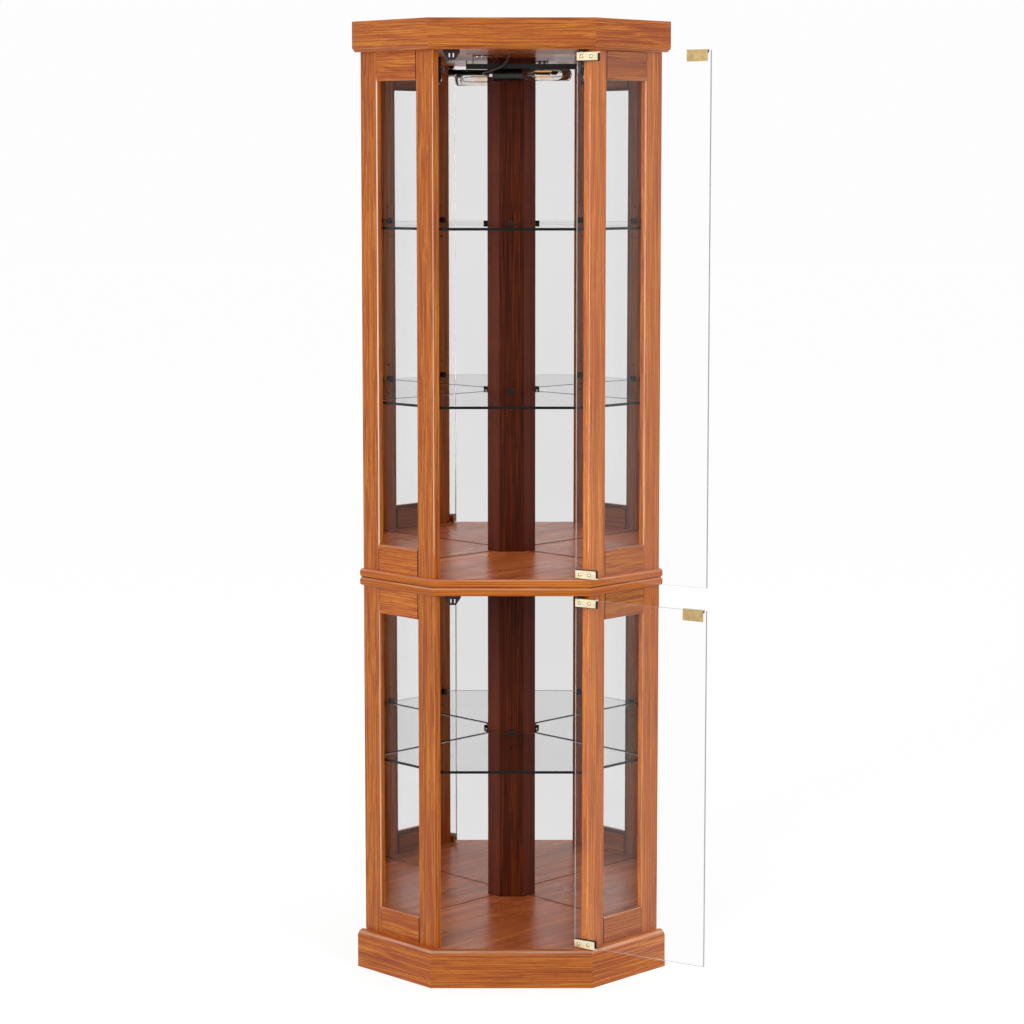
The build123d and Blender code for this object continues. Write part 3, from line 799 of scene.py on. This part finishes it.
def bulb_base():
    """Threaded metal shell of the bulb inside the holder."""
    mesh = bmesh.new()
    profile = [(HOLDER_RIGHT - 24, 0), (HOLDER_RIGHT - 24, 4.0)]
    for step in range(6):
        x = HOLDER_RIGHT - 22 + step * 3.2
        profile += [(x, 6.6), (x + 1.0, 7.1), (x + 2.0, 7.1)]
    profile += [(HOLDER_RIGHT - 1.0, 6.6), (HOLDER_RIGHT - 1.0, 0)]
    turned_on_lamp(mesh, profile, 32)
    add_mesh("lamp_bulb_base", mesh, "brass", "cabinet", smooth=True)


def lead_nut():
    """Steel nut that holds the lead at the back of the holder."""
    mesh = bmesh.new()
    profile = [(HOLDER_LEFT - 8.5, 0), (HOLDER_LEFT - 8.5, 4.2), (HOLDER_LEFT - 7.7, 5.0),
               (HOLDER_LEFT - 2.3, 5.0), (HOLDER_LEFT - 1.6, 4.4), (HOLDER_LEFT - 1.6, 0)]
    turned_on_lamp(mesh, profile, 6)
    add_mesh("lamp_lead_nut", mesh, "steel", "cabinet")


def mesh_of(thing):
    """Mesh of a curve object as it stands."""
    scene.collection.objects.link(thing)
    bpy.context.view_layer.update()
    data = bpy.data.meshes.new_from_object(thing.evaluated_get(bpy.context.evaluated_depsgraph_get()))
    scene.collection.objects.unlink(thing)
    return data


def tube(name, points, radius, look, sides=3):
    """Round wire or cable along a smooth curve through control points in metres, with its radius in
    millimetres. Gives the piece and the points of its centre line."""
    curve = bpy.data.curves.new(name, "CURVE")
    curve.dimensions = "3D"
    spline = curve.splines.new("NURBS")
    spline.points.add(len(points) - 1)
    for item, point in zip(spline.points, points):
        item.co = (*point, 1)
    spline.order_u = 3
    spline.use_endpoint_u = True
    spline.resolution_u = 12
    line = bpy.data.objects.new(name + "_line", curve)
    path = [vertex.co.copy() for vertex in mesh_of(line).vertices]
    curve.bevel_depth = radius * MM
    curve.bevel_resolution = sides
    curve.use_fill_caps = True
    data = mesh_of(line)
    data.name = name
    data.shade_smooth()
    data.materials.append(MATERIALS[look])
    thing = add_object(name, data)
    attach(thing, "cabinet")
    return thing, path


def filament():
    """Four amber sticks round a stem, on wires that end in small hooks at the far end."""
    sticks = bmesh.new()
    length = STICK_END - STICK_START
    cap = 0.8 * STICK_RADIUS
    profile = [(0, 0), (0, cap), (1.2, STICK_RADIUS), (length - 1.2, STICK_RADIUS), (length, cap), (length, 0)]
    for y, z in STICK_ROWS:
        turned_on_lamp(sticks, profile, 12, (STICK_START, y, z))
    add_mesh("lamp_filament_sticks", sticks, "filament", "cabinet", smooth=True)
    for number, (y, z) in enumerate(STICK_ROWS, 1):
        near = [lamp_point(HOLDER_RIGHT + 9, y * 0.3, z * 0.3), lamp_point(HOLDER_RIGHT + 17, y * 0.5, z * 0.5),
                lamp_point(STICK_START - 4, y, z), lamp_point(STICK_START + 1, y, z)]
        tube(f"lamp_filament_near_wire_{number}", near, NEAR_WIRE_RADIUS, "steel")
        far = [lamp_point(STICK_END - 1, y, z), lamp_point(STICK_END + 8, y, z),
               lamp_point(STICK_END + 18, y * 0.7, z * 0.7), lamp_point(STICK_END + 26, y * 0.4, z * 0.3),
               lamp_point(STICK_END + 27, y * 0.2, z * -0.3), lamp_point(STICK_END + 22, y * 0.2, z * -0.4),
               lamp_point(STICK_END + 20, y * 0.3, 0)]
        tube(f"lamp_filament_far_wire_{number}", far, FAR_WIRE_RADIUS, "black_metal")
    stem = bmesh.new()
    profile = [(HOLDER_RIGHT - 2, 0), (HOLDER_RIGHT - 2, 5.0), (HOLDER_RIGHT + 3, 4.4), (HOLDER_RIGHT + 8, 2.6),
               (HOLDER_RIGHT + 20, 2.2), (HOLDER_RIGHT + 23, 1.4), (HOLDER_RIGHT + 24, 0)]
    turned_on_lamp(stem, profile, 20)
    add_mesh("lamp_stem", stem, "bulb_glass", "cabinet", smooth=True)


def lead():
    """The lamp's lead, out of the cap, through the ceiling and round to the back of the holder."""
    points = [Vector(point) * MM for point in LEAD_ROUTE]
    thing, path = tube("lamp_lead_cable", points, LEAD_RADIUS, "lead", 6)
    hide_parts("lamp_lead")


for door, body in (("upper", "upper_door"), ("lower", "lower_door")):
    clamp_screws(door, body)
    low_edge, high_edge = DOOR_ENDS[door]
    clamp_gasket(body, f"{door}_door_top_gasket", high_edge, 1)
    clamp_gasket(body, f"{door}_door_bottom_gasket", low_edge, -1)
    pole_plates(f"{door}_catch_poles", CEILINGS[door])
bracket_screws()
bulb()
bulb_base()
filament()
lead_nut()
lead()


# The stage: what the camera and clear things see of the white surround, and what lights the cabinet
STAGE_HALF_SIZE = 40
STAGE_TONE = 230
STAGE_TONE_SEEN = 156
STAGE_GLOW = 0.78
STAGE_IN_GLOSS = 0.98
WORLD_LIGHT = 0.62
WORLD_SEEN = 0.985
LIGHT_TARGET = (0, -0.25, 0.95)
LIGHT_SIZE = (1.0, 3.2)

CAMERA_PLACE = (0.0010, -5.3750, 1.5277)
CAMERA_PITCH = 6.580
CAMERA_LENS = 95.041
CAMERA_SHIFT = -0.03


def stage_floor():
    """Wide pale floor that keeps the cabinet's shadow."""
    mesh = bmesh.new()
    bmesh.ops.create_grid(mesh, x_segments=1, y_segments=1, size=STAGE_HALF_SIZE)
    data = bpy.data.meshes.new("floor")
    mesh.to_mesh(data)
    mesh.free()
    thing = add_object("floor", data)
    shader = Shader("floor")
    path = shader.add("ShaderNodeLightPath").outputs
    shader.give(Base_Color=shader.blend(path["Is Camera Ray"], grey(STAGE_TONE), grey(STAGE_TONE_SEEN)),
                Roughness=0.9, Specular_IOR_Level=0.0)
    seen = shader.math("ADD", path["Is Camera Ray"], path["Is Transmission Ray"], clamp=True)
    glow = shader.add("ShaderNodeEmission")
    shader.link(shader.math("MULTIPLY", seen, STAGE_GLOW), glow.inputs["Strength"])
    both = shader.add("ShaderNodeAddShader")
    shader.link(shader.main.outputs["BSDF"], both.inputs[0])
    shader.link(glow.outputs["Emission"], both.inputs[1])
    even = shader.add("ShaderNodeEmission")
    even.inputs["Strength"].default_value = STAGE_IN_GLOSS
    shader.surface(path["Is Glossy Ray"], both.outputs["Shader"], even.outputs["Emission"])
    data.materials.append(shader.material)


def studio():
    """White surround, softer as a light than as it is seen, and two upright softboxes."""
    world = bpy.data.worlds.new("studio")
    scene.world = world
    world.use_nodes = True
    tree = world.node_tree
    back = tree.nodes["Background"]
    back.inputs["Color"].default_value = (1, 1, 1, 1)
    path = tree.nodes.new("ShaderNodeLightPath")
    direct = tree.nodes.new("ShaderNodeMath")
    seen = tree.nodes.new("ShaderNodeMath")
    seen.use_clamp = True
    tree.links.new(path.outputs["Is Camera Ray"], direct.inputs[0])
    tree.links.new(path.outputs["Is Glossy Ray"], direct.inputs[1])
    tree.links.new(direct.outputs[0], seen.inputs[0])
    tree.links.new(path.outputs["Is Transmission Ray"], seen.inputs[1])
    span = tree.nodes.new("ShaderNodeMapRange")
    span.inputs["To Min"].default_value = WORLD_LIGHT
    span.inputs["To Max"].default_value = WORLD_SEEN
    tree.links.new(seen.outputs[0], span.inputs["Value"])
    tree.links.new(span.outputs["Result"], back.inputs["Strength"])
    softbox("key_light", place=(-2.6, -4.6, 2.2), power=86)
    softbox("fill_light", place=(3.0, -4.2, 1.9), power=50)


def softbox(name, place, power):
    """Upright area light that faces the cabinet."""
    data = bpy.data.lights.new(name, "AREA")
    data.shape = "RECTANGLE"
    data.size, data.size_y = LIGHT_SIZE
    data.energy = power
    lamp = add_object(name, data)
    lamp.location = place
    lamp.rotation_euler = (Vector(LIGHT_TARGET) - Vector(place)).to_track_quat("-Z", "Y").to_euler()


def camera():
    """Camera at the photograph's viewing angle."""
    data = bpy.data.cameras.new("camera")
    data.sensor_width = 36
    data.lens = CAMERA_LENS
    data.shift_y = CAMERA_SHIFT
    data.clip_end = 200
    thing = add_object("camera", data)
    thing.location = CAMERA_PLACE
    thing.rotation_euler = (math.radians(90 - CAMERA_PITCH), 0, 0)
    scene.camera = thing


stage_floor()
studio()
camera()
scene.view_settings.view_transform = "Standard"
